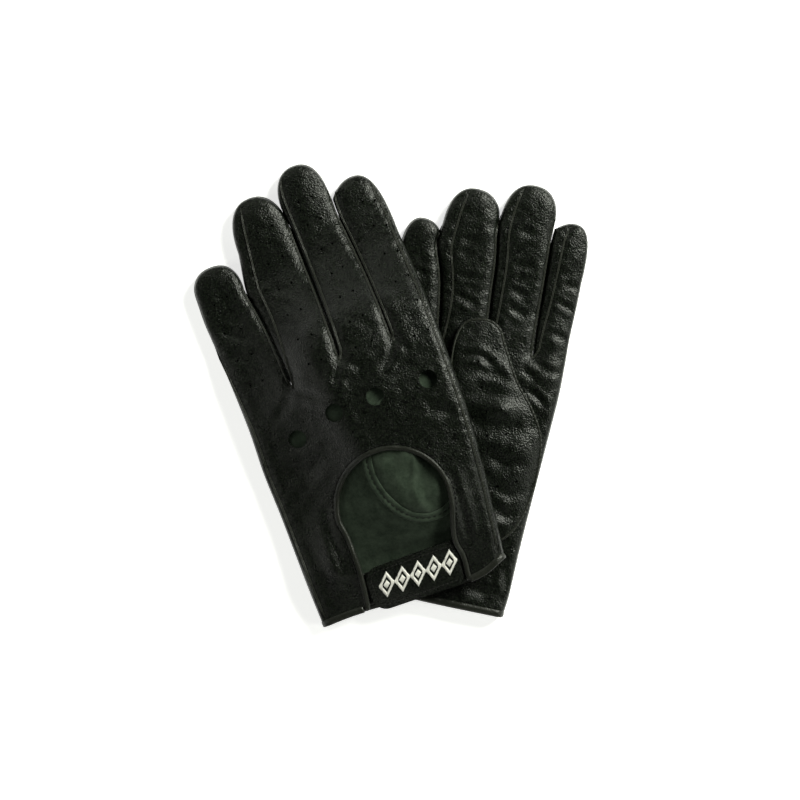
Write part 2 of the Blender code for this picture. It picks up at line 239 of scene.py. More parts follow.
def smooth_rows(rows, times):
    """Rows averaged with their neighbours, the ends held."""
    rows = rows.copy()
    for _ in range(times):
        rows[1:-1] = (rows[:-2] + 2 * rows[1:-1] + rows[2:]) / 4
    return rows


def nearest(path, point):
    """Which of a path's points is nearest to a place."""
    return np.linalg.norm(path - np.array(point), axis=1).argmin()


def curve(points, step, closed=False):
    """A smooth path through a few points; a closed one leaves out its repeated end."""
    p = np.asarray(points, float)
    if closed:
        p = np.vstack([p[-1], p, p[0], p[1]])
    else:
        p = np.vstack([2 * p[0] - p[1], p, 2 * p[-1] - p[-2]])
    t = np.linspace(0, 1, 13)[:-1, None]
    runs = [0.5 * (2 * b + (c - a) * t + (2 * a - 5 * b + 4 * c - d) * t ** 2
                   + (3 * b - a - 3 * c + d) * t ** 3)
            for a, b, c, d in zip(p, p[1:], p[2:], p[3:])]
    path = resample(np.vstack(runs + [p[-2:-1]]), step)
    return path[:-1] if closed else path


def ring(centre, radii, count, phase=0.0):
    """A closed ellipse."""
    t = np.linspace(0, 2 * pi, count, endpoint=False) + phase
    return np.column_stack([centre[0] + radii[0] * np.cos(t), centre[1] + radii[1] * np.sin(t)])


def fingertip(left, right, top):
    """A squarish half oval from the left shoulder over the top to the right one."""
    t = np.linspace(pi, 0, 60)
    foot = np.linspace(left[1], right[1], 60)
    across = np.sign(np.cos(t)) * np.abs(np.cos(t)) ** (2 / SQUARENESS)
    up = np.abs(np.sin(t)) ** (2 / SQUARENESS)
    half = (right[0] - left[0]) / 2
    return np.column_stack([(left[0] + right[0]) / 2 + half * across, foot + (top - foot) * up])


def apart(path, least=0.3):
    """The path without points that all but repeat the one before."""
    keep = [0]
    for i in range(1, len(path)):
        if np.linalg.norm(path[i] - path[keep[-1]]) > least:
            keep.append(i)
    return path[keep]


def measure(points, path):
    """Each point's distance to a path, and how far along the path its nearest point is."""
    a, d = path[:-1], np.diff(path, axis=0)
    square = np.maximum((d ** 2).sum(1), 1e-12)
    before = np.concatenate([[0], np.cumsum(np.sqrt(square))[:-1]])
    best, along = np.empty(len(points)), np.empty(len(points))
    size = max(1, 2_000_000 // len(a))
    for start in range(0, len(points), size):
        part = points[start:start + size]
        x, y = part[:, 0:1] - a[:, 0], part[:, 1:2] - a[:, 1]
        t = np.clip((x * d[:, 0] + y * d[:, 1]) / square, 0, 1)
        gap = (x - t * d[:, 0]) ** 2 + (y - t * d[:, 1]) ** 2
        k = gap.argmin(1)
        row = np.arange(len(part))
        best[start:start + size] = np.sqrt(gap[row, k])
        along[start:start + size] = before[k] + t[row, k] * np.sqrt(square[k])
    return best, along


def inside(points, polygon):
    """Which points lie inside a closed outline."""
    x, y = points[:, 0], points[:, 1]
    hit = np.zeros(len(points), bool)
    for (x0, y0), (x1, y1) in zip(polygon, np.roll(polygon, -1, axis=0)):
        if y0 != y1:
            hit ^= ((y0 > y) != (y1 > y)) & (x < (x1 - x0) * (y - y0) / (y1 - y0) + x0)
    return hit


def closed(path):
    """A loop with its first point repeated at its end."""
    return np.vstack([path, path[:1]])


def rectangle(left, low, right, high):
    """A closed outline with square corners."""
    return resample([(left, low), (right, low), (right, high), (left, high), (left, low)],
                    1.5)[:-1][::-1]


def quarter(t):
    """A quarter circle's height, from 0 at its foot to 1."""
    return np.sqrt(np.maximum(0, 1 - (1 - np.clip(t, 0, 1)) ** 2))


def soft_noise(p, scale, seed, waves=14):
    """A smooth random field of about unit size whose bumps are a scale apart."""
    random = np.random.default_rng(seed)
    angle, phase = random.uniform(0, 2 * pi, waves), random.uniform(0, 2 * pi, waves)
    rate = 2 * pi / scale * random.uniform(0.6, 1.5, waves)
    height = np.cos(p[:, 0:1] * rate * np.cos(angle) + p[:, 1:2] * rate * np.sin(angle) + phase)
    return height.sum(1) / 3.7


def triangulate(border, curves, holes, side_path, depths, step):
    """Triangles over a flat region whose border, inner curves and holes stay as edges.

    Points crowd towards the side path, where the sheet rolls over its edge.
    """
    fixed = [border] + list(holes)
    low, high = border.min(0), border.max(0)
    across = np.arange(low[0], high[0], step)
    free = np.vstack([np.column_stack([across + (i % 2) * step / 2, np.full(len(across), y)])
                      for i, y in enumerate(np.arange(low[1], high[1], step * 0.866))])
    free = free + np.random.default_rng(3).uniform(-0.12, 0.12, free.shape)
    free = free[inside(free, border)]
    free = free[measure(free, side_path)[0] > depths[-1] + 0.5 * step]
    for depth in depths:
        level = offset_path(side_path, -depth)
        level = level[inside(level, border)]
        free = np.vstack([free, level[measure(level, side_path)[0] > depth * 0.97]])
    room = np.full(len(free), 9.0)
    for line in [closed(loop) for loop in fixed] + list(curves):
        room = np.minimum(room, measure(free, line)[0])
    crowded = measure(free, side_path)[0] < 1.8
    free = free[room > np.where(crowded, 0.1, 0.4) * min(step, 1.4)]
    points, edges = [], []
    for line, joins in [(loop, len(loop)) for loop in fixed] + [(c, len(c) - 1) for c in curves]:
        edges += [(len(points) + i, len(points) + (i + 1) % len(line)) for i in range(joins)]
        points += [Vector(p) for p in line]
    points += [Vector(p) for p in free]
    verts, _, faces, *_ = delaunay_2d_cdt(points, edges, [], 0, 1e-4)
    verts = np.array([tuple(v) for v in verts])
    faces = np.array([f for f in faces if len(f) == 3])
    middle = verts[faces].mean(1)
    keep = inside(middle, border)
    for hole in holes:
        keep &= ~inside(middle, hole)
    faces = faces[keep]
    a, b, c = (verts[faces[:, i]] for i in range(3))
    turned = (b[:, 0] - a[:, 0]) * (c[:, 1] - a[:, 1]) - (b[:, 1] - a[:, 1]) * (c[:, 0] - a[:, 0])
    faces[turned < 0] = faces[turned < 0][:, ::-1]
    return verts, faces


# --- the drape ----------------------------------------------------------------
class Ground:
    """A height over the floor on a square grid: what the next thing laid down rests on."""
    STEP, HALF = 2.0, 150.0

    def __init__(self):
        axis = np.arange(-self.HALF, self.HALF + 1, self.STEP)
        self.size = len(axis)
        x, y = np.meshgrid(axis, axis, indexing="ij")
        self.points = np.column_stack([x.ravel(), y.ravel()])
        self.height = np.zeros((self.size, self.size))

    def sample(self, field, xy):
        """A grid field at any points, straight between its cells."""
        place = np.clip((xy + self.HALF) / self.STEP, 0, self.size - 1.001)
        cell = place.astype(int)
        fx, fy = (place - cell).T
        i, j = cell.T
        return (field[i, j] * (1 - fx) * (1 - fy) + field[i + 1, j] * fx * (1 - fy)
                + field[i, j + 1] * (1 - fx) * fy + field[i + 1, j + 1] * fx * fy)

    def blur(self, field, times):
        """Each cell averaged with its neighbours."""
        for _ in range(times):
            wide = np.pad(field, 1, mode="edge")
            field = (wide[:-2, 1:-1] + wide[2:, 1:-1] + wide[1:-1, :-2] + wide[1:-1, 2:]
                     + 2 * wide[1:-1, 1:-1]) / 6
        return field

    def drape(self, sag, settle=900):
        """A heavy skin over the ground: taut where it bridges, falling away past its edges."""
        skin = self.height.copy()
        for _ in range(settle):
            skin = np.maximum(self.height, self.blur(skin, 1) - sag)
        for _ in range(6):
            skin = self.blur(np.maximum(skin, self.height), 14)
        return skin

    def add(self, xy_to_height):
        """Raises the ground to the top of something that now lies on it."""
        top = xy_to_height(self.points).reshape(self.size, self.size)
        self.height = np.maximum(self.height, top)


GROUND = Ground()


# --- puffed shells ------------------------------------------------------------
class Shell:
    """Two leather sheets that meet round their sides, laid on a draped middle plane."""

    def __init__(self, side, side_path, rim, top, bottom):
        self.side = side
        self.side_path = side_path
        self.rim, self.top, self.bottom = rim, top, bottom
        self.lengths = travel(side_path)
        self.radii = self.edge_radii()
        self.turn = np.array([[cos(FAN[side]), -sin(FAN[side])], [sin(FAN[side]), cos(FAN[side])]])
        self.origin = self.find_origin()
        self.skin = None
        self.base = 0.0
        self.unevenness = 0.30
        self.grooves = {True: [], False: []}
        self.creases = []

    def find_origin(self):
        """Where the glove's plan origin lies, from the middle of the CAD back panel's box."""
        low, high = (np.array(corner[:2]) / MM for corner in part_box(f"{self.side}_back_panel"))
        return (low + high) / 2 + HEM_FROM_CENTRE[self.side]

    def to_world(self, p):
        return p @ self.turn.T + self.origin

    def to_plan(self, xy):
        return (xy - self.origin) @ self.turn

    def edge_radii(self):
        """How far in from each point of the sides the sheet keeps rounding over."""
        return np.full(len(self.side_path), self.rim)

    def amplitude(self, p, upper):
        return np.full(len(p), self.top if upper else self.bottom)

    def relief(self, p, depth, upper):
        """Seam grooves with puckers beside them, creases and slow unevenness."""
        z = self.unevenness * soft_noise(p, 26, 5) + 0.12 * soft_noise(p, 9, 6)
        if not upper:
            z = z * 0.3
        for number, groove in enumerate(self.grooves[upper]):
            gap, along = measure(p, groove)
            wobble = np.sin(along * 2 * pi / 6.3 + 1.7 * np.sin(along / 9.0 + number))
            z = z - 0.55 * np.exp(-(gap / 1.5) ** 2)
            z = z + 0.20 * wobble * np.exp(-(gap / 3.2) ** 2) * np.clip(gap / 1.0, 0, 1)
        if upper:
            for points, deep, wide in self.creases:
                path = curve(points, 1.0)
                gap, along = measure(p, path)
                ends = np.sin(np.clip(along / max(len(path) - 1, 1), 0, 1) * pi) ** 0.6
                dip = np.exp(-(gap / wide) ** 2) - 0.55 * np.exp(-((gap - 2.1 * wide) / wide) ** 2)
                z = z - 1.25 * deep * ends * dip
        return z * np.clip(depth / 2.5, 0, 1)

    def rise(self, p, upper):
        """Height over the middle plane, positive up."""
        depth, along = measure(p, self.side_path)
        radius = np.interp(along, self.lengths, self.radii) * (1 if upper else 0.55)
        round_edge = LIP_SHARE * quarter(depth / LIP) + (1 - LIP_SHARE) * quarter(depth / radius)
        height = self.amplitude(p, upper) * round_edge + self.relief(p, depth, upper)
        return height if upper else -height

    def middle(self, xy):
        """World height of the middle plane."""
        ground = np.zeros(len(xy)) if self.skin is None else GROUND.sample(self.skin, xy)
        return ground + self.base + self.bottom

    def over_middle(self, p, height):
        """World points at a height over the middle plane."""
        xy = self.to_world(p)
        return np.column_stack([xy, self.middle(xy) + height])

    def surface(self, p, upper):
        """World points on a sheet."""
        return self.over_middle(p, self.rise(p, upper))

    def frame_on(self, p, upper):
        """World points on a sheet and its outward normals there."""
        e = 0.4
        dx = self.surface(p + (e, 0), upper) - self.surface(p - (e, 0), upper)
        dy = self.surface(p + (0, e), upper) - self.surface(p - (0, e), upper)
        return self.surface(p, upper), unit(np.cross(dx, dy) * (1 if upper else -1))

    def top_over(self, xy):
        """World height of the shell's upper face over the floor, nothing where it isn't."""
        p = self.to_plan(xy)
        there = inside(p, self.side_path)
        out = np.zeros(len(xy))
        if there.any():
            out[there] = self.middle(xy[there]) + self.rise(p[there], True)
        return out


class Glove(Shell):
    """A hand shell with its seams, holes, bindings, strap and thumb hole."""

    def __init__(self, side):
        self.plan = PLANS[side]
        self.dorsal_up = side == "left"
        self.outward = 1 if self.dorsal_up else -1
        super().__init__(side, self.outline(), 12.5, TOP_HEIGHT, BOTTOM_HEIGHT)
        self.creases = CREASES[side]
        self.seams = {True: self.find_seams(True), False: self.find_seams(False)}
        self.grooves = {up: [c for _, c, _ in self.seams[up]] for up in (True, False)}

    def outline(self):
        """The sides and fingers from the hem's little-finger corner round to the other."""
        tips, notches = self.plan["fingertips"], self.plan["notches"]
        half = np.array([NOTCH / 2, 0])
        runs = [curve(self.plan["little_side"] + [tips[0][0]], EDGE)]
        for k, tip in enumerate(tips):
            runs.append(resample(fingertip(*tip), EDGE))
            if k < len(notches):
                middle = np.array(notches[k], float)
                runs.append(curve(np.vstack([[tip[1]], middle[::-1] - half]), EDGE))
                runs.append(curve(np.vstack([middle + half, [tips[k + 1][0]]]), EDGE))
        runs.append(curve([tips[-1][1]] + self.plan["index_side"], EDGE))
        return apart(np.vstack(runs))

    def edge_radii(self):
        """Broad round the fingertips, tight beside the hand and where a finger's edge
        overhangs its neighbour."""
        path = self.side_path
        radii = np.interp(path[:, 1], (115, 185), (6.0, self.rim))
        for notch in self.plan["notches"]:
            middle = curve(notch, 2.0)
            gap = measure(path, middle)[0]
            left = path[:, 0] < np.interp(path[:, 1], middle[:, 1], middle[:, 0])
            radii[(gap < 2) & left] = 7.0
            radii[(gap < 2) & ~left] = 10.0
        return smooth_rows(radii[:, None], 40)[:, 0]

    def amplitude(self, p, upper):
        """Fullest over the knuckles, a little flatter at the wrist and the fingertips."""
        y = p[:, 1]
        full = 0.9 + 0.14 * np.exp(-((y - 112) / 26) ** 2) + 0.04 * np.cos(y / 17)
        full = full - 0.10 * np.clip((30 - y) / 40, 0, 1) + 0.12 * np.clip((y - 165) / 30, 0, 1)
        if upper:
            return self.top * full
        if not self.dorsal_up:
            return np.full(len(p), self.bottom)
        row = curve(self.plan["knuckles"], 2.0)
        knuckles = np.exp(-(measure(p, row)[0] / 13) ** 4) * np.interp(p[:, 0], (25, 46), (1.7, 1.25))
        window = np.interp(y, (25, 46, 104, 124), (0, 1.15, 1.15, 0))
        window = window * np.interp(np.abs(p[:, 0] - 4), (36, 50), (1, 0))
        return self.bottom * (1 - np.maximum(knuckles, window))

    def snap(self, point):
        """The border point nearest to a place."""
        return self.side_path[nearest(self.side_path, point)]

    def wrap_start(self):
        """Which point of the sides the little finger's outer seam runs up to."""
        path = self.side_path
        return np.flatnonzero((path[:, 1] > WRAP_TOP) & (path[:, 0] < 0))[0]

    def find_seams(self, upper):
        """(label, curve, polygon) for each region that isn't the sheet's main panel."""
        out = []
        tips = self.plan["fingertips"]
        reach = self.plan["upper_reach"] if upper else LOWER_REACH
        names = ("little_ring", "ring_middle", "middle_index")
        for k, notch in enumerate(self.plan["notches"]):
            middle = curve(notch, 3.0)
            t = np.linspace(0, 1, len(middle))
            right = middle + np.column_stack([np.interp(t, (0, 0.5, 1), reach[k]), 0 * t])
            left = middle - (1.1, 0)
            shoulder_l, shoulder_r = tips[k][1], tips[k + 1][0]
            top = tips[k + 1][2]
            far = reach[k][2]
            left_end = self.snap((shoulder_l[0], shoulder_l[1] + 6))
            right_end = self.snap((shoulder_r[0] + far + 2.5, top))
            bend = (shoulder_r[0] + far + 0.6, (shoulder_r[1] + top) / 2)
            path = curve(np.vstack([left_end, left[:0:-1], middle[0] + (0.1, -2.0),
                                    right[1:], bend, right_end]), EDGE)
            calm = np.clip((path[:, 1:] - middle[0][1] - 5) / 8, 0, 1)
            path = path * (1 - calm) + smooth_rows(path, 24) * calm
            path[0], path[-1] = left_end, right_end
            polygon = np.vstack([path, (right_end[0], BEYOND), (left_end[0], BEYOND)])
            out.append((f"fourchette_{names[k]}", path, polygon))
        if upper == self.dorsal_up:
            out += self.side_seams()
        return out

    def side_seams(self):
        """The two outer seams, a little in from the glove's edge on its back."""
        path = self.side_path
        low, wide = path[:, 1].min() - 9, 90
        little = path[:self.wrap_start() + 1]
        inset = np.interp(little[:, 1], (0, 100, WRAP_TOP), (2.6, 2.6, 0.0))
        little = little + np.column_stack([inset, 0 * inset])
        tip = self.plan["fingertips"][3]
        last = np.flatnonzero((path[:, 0] > tip[0][0] + 5) & (path[:, 1] > tip[2] - 3))[-1]
        index = path[last:]
        index = offset_path(index, -np.interp(np.arange(len(index)), (0, 10), (0, 2.9))[:, None])
        return [("little_wrap", little, np.vstack([little, (-wide, WRAP_TOP), (-wide, low),
                                                   (little[0][0], low)])),
                ("index_wrap", index, np.vstack([index, (index[-1][0], low), (wide, low),
                                                 (wide, BEYOND), (index[0][0], BEYOND)]))]

    def window_edge(self):
        """The wrist opening's edge from the hem, over the arch, back to the hem."""
        t = np.radians(np.linspace(198, -27, 60))
        arch = np.column_stack([WINDOW_CENTRE[0] + WINDOW_RADIUS * np.cos(t),
                                WINDOW_CENTRE[1] + WINDOW_RADIUS * np.sin(t)])
        left, right = self.plan["slit_feet"]
        return curve(np.vstack([(-24.8, left), SLIT_LEFT, arch[::6], SLIT_RIGHT, (31.2, right)]), EDGE)

    def border(self, dorsal):
        """A sheet's closed edge; the back's runs up and round the wrist window."""
        hem = curve(self.plan["hem"], EDGE)[::-1]
        if dorsal:
            window = self.window_edge()
            right = hem[hem[:, 0] > window[-1][0] + 1]
            left = hem[hem[:, 0] < window[0][0] - 1]
            hem = np.vstack([right, window[::-1], left])
        return apart(np.vstack([self.side_path, hem[1:-1]]))

    def holes(self, dorsal):
        """Knuckle holes and perforations in the back, the thumb hole in the palm."""
        if not dorsal:
            return [ring(*THUMB_HOLES[self.side], 72)]
        loops = [ring(c, (KNUCKLE_RADIUS, KNUCKLE_RADIUS), 28, 0.1) for c in self.plan["knuckles"]]
        return loops + perforations(self.plan["perforations"])


def perforations(rows):
    """Small round holes from rows of pairs."""
    return [ring(centre, (PERFORATION_RADIUS, PERFORATION_RADIUS), 9, 0.2)
            for row in rows for centre in (row[:2], row[2:])]


# --- meshes -------------------------------------------------------------------
def make_piece(name, verts, faces, material, inner=None, thickness=0.0):
    """A mesh object from points in millimetres, given a thickness inwards if asked."""
    mesh = bpy.data.meshes.new(name)
    mesh.from_pydata((np.asarray(verts) * MM).tolist(), [], [list(map(int, f)) for f in faces])
    mesh.materials.append(material)
    mesh.shade_smooth()
    piece = bpy.data.objects.new(name, mesh)
    bpy.context.collection.objects.link(piece)
    if thickness:
        sharpen_cut_edges(mesh)
        solid = piece.modifiers.new("thickness", "SOLIDIFY")
        solid.thickness = thickness * MM
        solid.offset = -1
        if inner:
            mesh.materials.append(inner)
            solid.material_offset = 1
            solid.material_offset_rim = 0
    return piece


def sharpen_cut_edges(mesh):
    """Keeps the sheet's own shading apart from that of its cut edges."""
    shape = bmesh.new()
    shape.from_mesh(mesh)
    for edge in shape.edges:
        edge.smooth = not edge.is_boundary
    shape.to_mesh(mesh)
    shape.free()


def merged(verts, faces):
    """Points that coincide joined into one, and unused ones dropped."""
    key = np.round(verts, 3)
    _, first, back = np.unique(key, axis=0, return_index=True, return_inverse=True)
    faces = back.reshape(-1)[faces]
    good = (faces[:, 0] != faces[:, 1]) & (faces[:, 1] != faces[:, 2]) & (faces[:, 2] != faces[:, 0])
    used, compact = np.unique(faces[good], return_inverse=True)
    return verts[first][used], compact.reshape(-1, 3)


def tube(start, rings, sides, loop=False):
    """Faces that join rings of points, with flat ends unless the tube is a loop."""
    faces = []
    for i in range(rings if loop else rings - 1):
        a, b = start + i * sides, start + (i + 1) % rings * sides
        for j in range(sides):
            k = (j + 1) % sides
            faces.append((a + j, a + k, b + k, b + j))
    if not loop:
        last = start + (rings - 1) * sides
        faces += [[start + j for j in range(sides)][::-1], [last + j for j in range(sides)]]
    return faces


def sweep(name, path, normals, profile, material, loop=False, taper=0):
    """One cross-section, given as (across, up) points, run along a path; its ends may taper."""
    n, profile = len(path), np.array(profile, float)
    around = np.roll(path, -1, axis=0) - np.roll(path, 1, axis=0)
    _, across, up = axes(around if loop else np.gradient(path, axis=0), normals)
    ends = np.minimum(np.arange(n), np.arange(n)[::-1]) * EDGE
    size = np.clip(ends / taper, 0.15, 1)[:, None, None] if taper else 1
    section = profile[:, 0:1] * across[:, None] + profile[:, 1:2] * up[:, None]
    verts = (path[:, None] + size * section).reshape(-1, 3)
    return make_piece(name, verts, tube(0, n, len(profile), loop), material)


THREAD_ROUND = np.linspace(0, 2 * pi, 6, endpoint=False)


def stitches(name, path, normals, material, pitch, length, radius):
    """A row of short thread stitches along a path."""
    steps = travel(path)
    places = np.arange(pitch / 2, steps[-1] - pitch / 2, pitch)
    centre = pick(path, steps, places)
    frame = axes(pick(path, steps, places + 0.5) - centre, pick(normals, steps, places))
    spread = np.array([-0.5, -0.36, 0, 0.36, 0.5]) * length
    fat = np.array([0.25, 0.95, 1.1, 0.95, 0.25]) * radius
    high = np.array([-0.5, 0.35, 0.8, 0.35, -0.5]) * radius + 0.1
    local = np.array([(x, r * cos(t), h + r * sin(t)) for x, r, h in zip(spread, fat, high)
                      for t in THREAD_ROUND])
    verts = centre[:, None] + sum(local[:, i:i + 1] * frame[i][:, None] for i in range(3))
    faces = []
    for stitch in range(len(centre)):
        faces += tube(stitch * len(local), len(spread), len(THREAD_ROUND))
    return make_piece(name, verts.reshape(-1, 3), faces, material)


# --- materials ----------------------------------------------------------------
def new_material(name, **inputs):
    """A node material, its tree and its shader's inputs, some of them set to plain values."""
    material = bpy.data.materials.new(name)
    material.use_nodes = True
    shader = material.node_tree.nodes["Principled BSDF"].inputs
    for key, value in inputs.items():
        shader[key.replace("_", " ")].default_value = value
    return material, material.node_tree, shader


def texture(tree, kind, scale, **settings):
    """The first output of a procedural texture in the object's own coordinates."""
    node = tree.nodes.new(f"ShaderNodeTex{kind}")
    node.inputs["Scale"].default_value = scale
    for key, value in settings.items():
        if key in node.inputs:
            node.inputs[key].default_value = value
        else:
            setattr(node, key, value)
    place = tree.nodes.get("place") or tree.nodes.new("ShaderNodeTexCoord")
    place.name = "place"
    tree.links.new(place.outputs["Object"], node.inputs["Vector"])
    return node.outputs[0]


def ramp(tree, value, low, high, target, start=0.3, end=0.7):
    """A value stretched between two colours and fed to a shader input."""
    node = tree.nodes.new("ShaderNodeValToRGB")
    for element, place, colour in zip(node.color_ramp.elements, (start, end), (low, high)):
        element.position = place
        element.color = (*colour, 1)
    tree.links.new(value, node.inputs["Fac"])
    tree.links.new(node.outputs["Color"], target)


def bump(tree, height, distance, strength, target):
    """A bump from a height, fed to a normal input; gives the input of a bump to lie under it."""
    node = tree.nodes.new("ShaderNodeBump")
    node.inputs["Distance"].default_value = distance
    node.inputs["Strength"].default_value = strength
    tree.links.new(height, node.inputs["Height"])
    tree.links.new(node.outputs["Normal"], target)
    return node.inputs["Normal"]


def leather(name, dark, light, rough, grain, relief):
    """Grained black leather: mottled pebbles, fine pores, slow gloss changes and soft folds."""
    material, tree, shader = new_material(name, Specular_IOR_Level=0.20)
    pebble = texture(tree, "Voronoi", grain, feature="SMOOTH_F1")
    pore = texture(tree, "Noise", grain * 1.6, Detail=3.0)
    mottle = texture(tree, "Noise", grain, Detail=2.0, Roughness=0.7)
    slow = texture(tree, "Noise", 95, Detail=2.0)
    rub = texture(tree, "Noise", 300, Detail=3.0)
    ramp(tree, mottle, dark, light, shader["Base Color"], 0.44, 0.62)
    ramp(tree, rub, (rough[0],) * 3, (rough[1],) * 3, shader["Roughness"])
    top = bump(tree, pebble, 0.00028, relief, shader["Normal"])
    fine = bump(tree, pore, 0.00014, 0.8 * relief, top)
    bump(tree, slow, 0.0008, 0.3, fine)
    return material


def suede(name, dark, light):
    """The napped flesh side of leather."""
    material, tree, shader = new_material(name, Roughness=0.95, Sheen_Weight=0.05,
                                          Specular_IOR_Level=0.1)
    nap = texture(tree, "Noise", 2600, Detail=4.0)
    patch = texture(tree, "Noise", 150, Detail=7.0, Roughness=0.85)
    ramp(tree, patch, dark, light, shader["Base Color"], 0.36, 0.66)
    bump(tree, nap, 0.00025, 0.7, shader["Normal"])
    return material


def thread(name, dark, light, rough):
    """Twisted sewing thread."""
    material, tree, shader = new_material(name, Roughness=rough, Specular_IOR_Level=0.2)
    twist = texture(tree, "Noise", 3200, Detail=2.0)
    ramp(tree, twist, dark, light, shader["Base Color"])
    bump(tree, twist, 0.00008, 0.6, shader["Normal"])
    return material


def pile(name, dark, light, grain):
    """Hook or loop fastener pile."""
    material, tree, shader = new_material(name, Roughness=0.8, Sheen_Weight=0.3)
    hooks = texture(tree, "Voronoi", grain)
    ramp(tree, hooks, light, dark, shader["Base Color"], 0.1, 0.6)
    bump(tree, hooks, 0.0006, 0.9, shader["Normal"])
    return material


NAPPA = leather("nappa_leather", (0.0001, 0.0002, 0.0001), (0.0074, 0.0100, 0.0064),
                (0.25, 0.35), 1300, 0.95)
TRIM = leather("binding_leather", (0.0080, 0.0090, 0.0068), (0.0140, 0.0150, 0.0120),
               (0.28, 0.38), 1500, 0.5)
# A lighter copy of the glove leather for the seam ridges: its colour is a painted highlight along them.
SEAM_PAINTED_HIGHLIGHT = leather("seam_leather_painted_highlight", (0.0130, 0.0145, 0.0108), (0.0220, 0.0235, 0.0185),
               (0.30, 0.40), 1500, 0.4)
FLESH = suede("suede_flesh_side", (0.0130, 0.0205, 0.0130), (0.0390, 0.0530, 0.0375))
# A darker copy of the flesh-side suede for inside the thumb: painted shade.
FLESH_PAINTED_SHADE = suede("thumb_suede_painted_shade", (0.0095, 0.0155, 0.0095), (0.0290, 0.0400, 0.0280))
BACKING = suede("strap_suede", (0.004, 0.006, 0.005), (0.007, 0.010, 0.008))
SEWING = thread("sewing_thread", (0.0010, 0.0012, 0.0009), (0.0022, 0.0025, 0.0018), 0.75)
TOPSTITCH = thread("topstitch_thread", (0.0050, 0.0055, 0.0042), (0.0100, 0.0105, 0.0088), 0.5)
WHITE = thread("white_thread", (0.62, 0.60, 0.56), (0.86, 0.85, 0.82), 0.5)
HOOKS = pile("hook_pile", (0.006, 0.006, 0.007), (0.03, 0.03, 0.032), 1300)
LOOPS = pile("loop_pile", (0.008, 0.008, 0.009), (0.025, 0.025, 0.027), 2100)


# --- a glove's pieces ---------------------------------------------------------
def build_panels(glove):
    """Both sheets cut along the seams into the back, the palm and three fourchettes."""
    groups = {}
    for upper in (True, False):
        dorsal = upper == glove.dorsal_up
        border = glove.border(dorsal)
        curves = [path for _, path, _ in glove.seams[upper]]
        verts, faces = triangulate(border, curves, glove.holes(dorsal), glove.side_path,
                                   RING_DEPTHS, FINE)
        middle = verts[faces].mean(1)
        label = np.full(len(faces), "back_panel" if dorsal else "palm_panel", object)
        for name, _, polygon in glove.seams[upper]:
            label[inside(middle, polygon)] = "palm_panel" if name.endswith("wrap") else name
        points = glove.surface(verts, upper)
        faces = faces if upper else faces[:, ::-1]
        for name in set(label):
            groups.setdefault(name, []).append((points, faces[label == name]))
    for name, parts in sorted(groups.items()):
        starts = np.cumsum([0] + [len(points) for points, _ in parts])
        verts, faces = merged(np.vstack([points for points, _ in parts]),
                              np.vstack([faces + s for (_, faces), s in zip(parts, starts)]))
        node = f"{glove.side}_{name}"
        piece = make_piece(f"{node}_leather", verts, faces, NAPPA, FLESH, LEATHER)
        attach(piece, f"{glove.side}_glove")
        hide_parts(node)


# Cross-sections of the seams and the folded leather between two fingers: (across, up).
TIP_RIDGE = [(-0.5, -1.2), (-0.5, 0.0), (-0.2, 0.22), (0.2, 0.22), (0.5, 0.0), (0.5, -1.2)]
RIDGE = [(-0.55, -0.9), (-0.55, 0.35), (-0.4, 0.62), (-0.18, 0.58), (0, 0.3),
         (0.18, 0.58), (0.4, 0.62), (0.55, 0.35), (0.55, -0.9)]
FOLD = [(-0.7, -1.2), (-0.7, 0.3), (-0.3, 0.0), (0.3, 0.0), (0.7, 0.3), (0.7, -1.2)]


def standing(normals, share=0.65):
    """Normals turned part of the way to straight up or down."""
    upright = np.zeros_like(normals)
    upright[:, 2] = np.sign(normals[:, 2].sum())
    return unit(normals * (1 - share) + upright * share)


def build_seams(glove):
    """The raised double edge of each sewn seam, and its stitches."""
    body = f"{glove.side}_glove"
    for upper in (True, False):
        face = "back" if upper == glove.dorsal_up else "palm"
        for name, path, _ in glove.seams[upper]:
            points, normals = glove.frame_on(path[2:-2], upper)
            normals = standing(normals)
            label = f"{glove.side}_{face}_{name}_seam"
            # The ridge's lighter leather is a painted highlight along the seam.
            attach(sweep(label, points, normals, RIDGE, SEAM_PAINTED_HIGHLIGHT, taper=6), body)
            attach(stitches(f"{label}_thread", points + normals * 0.25, normals, SEWING,
                             2.6, 1.5, 0.14), body)
    for k, notch in enumerate(glove.plan["notches"]):
        path = curve(notch, EDGE)
        foot = np.clip(1 - np.arange(len(path)) * EDGE / 30, 0, 1)
        points = glove.over_middle(path, 0.8 + 2.4 * foot)
        fold = sweep(f"{glove.side}_finger_fold_{k + 1}", points,
                     np.tile((0, 0, 1.0), (len(path), 1)), FOLD, NAPPA, taper=5)
        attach(fold, body)
    build_tip_seams(glove)


def build_tip_seams(glove):
    """The seam that closes each fingertip, along its very edge."""
    path, seams = glove.side_path, glove.seams[glove.dorsal_up]
    starts = [path[glove.wrap_start()]] + [seam[-1] for _, seam, _ in seams[:3]]
    stops = [seam[0] for _, seam, _ in seams[:3]] + [seams[4][1][0]]
    for k, (start, stop) in enumerate(zip(starts, stops)):
        points = glove.over_middle(path[nearest(path, start):nearest(path, stop) + 1], 0)
        if len(points) < 7:
            continue
        outward = unit(np.cross((0, 0, 1.0), np.gradient(points, axis=0)))
        strip = sweep(f"{glove.side}_tip_seam_{k + 1}", points, outward, TIP_RIDGE, NAPPA, taper=12)
        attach(strip, f"{glove.side}_glove")


BINDING = [(-1.5, -0.9), (-1.55, 0.1), (-1.2, 0.55), (-0.4, 0.72), (0.5, 0.6), (1.1, 0.1),
           (1.15, -0.8), (0.6, -1.5), (-0.6, -1.5)]
HEM = [(-1.9, -1.2), (-1.95, 0.3), (-1.6, 0.7), (0, 0.8), (1.2, 0.65), (1.9, -0.1),
       (1.6, -1.0), (0.9, -1.25)]


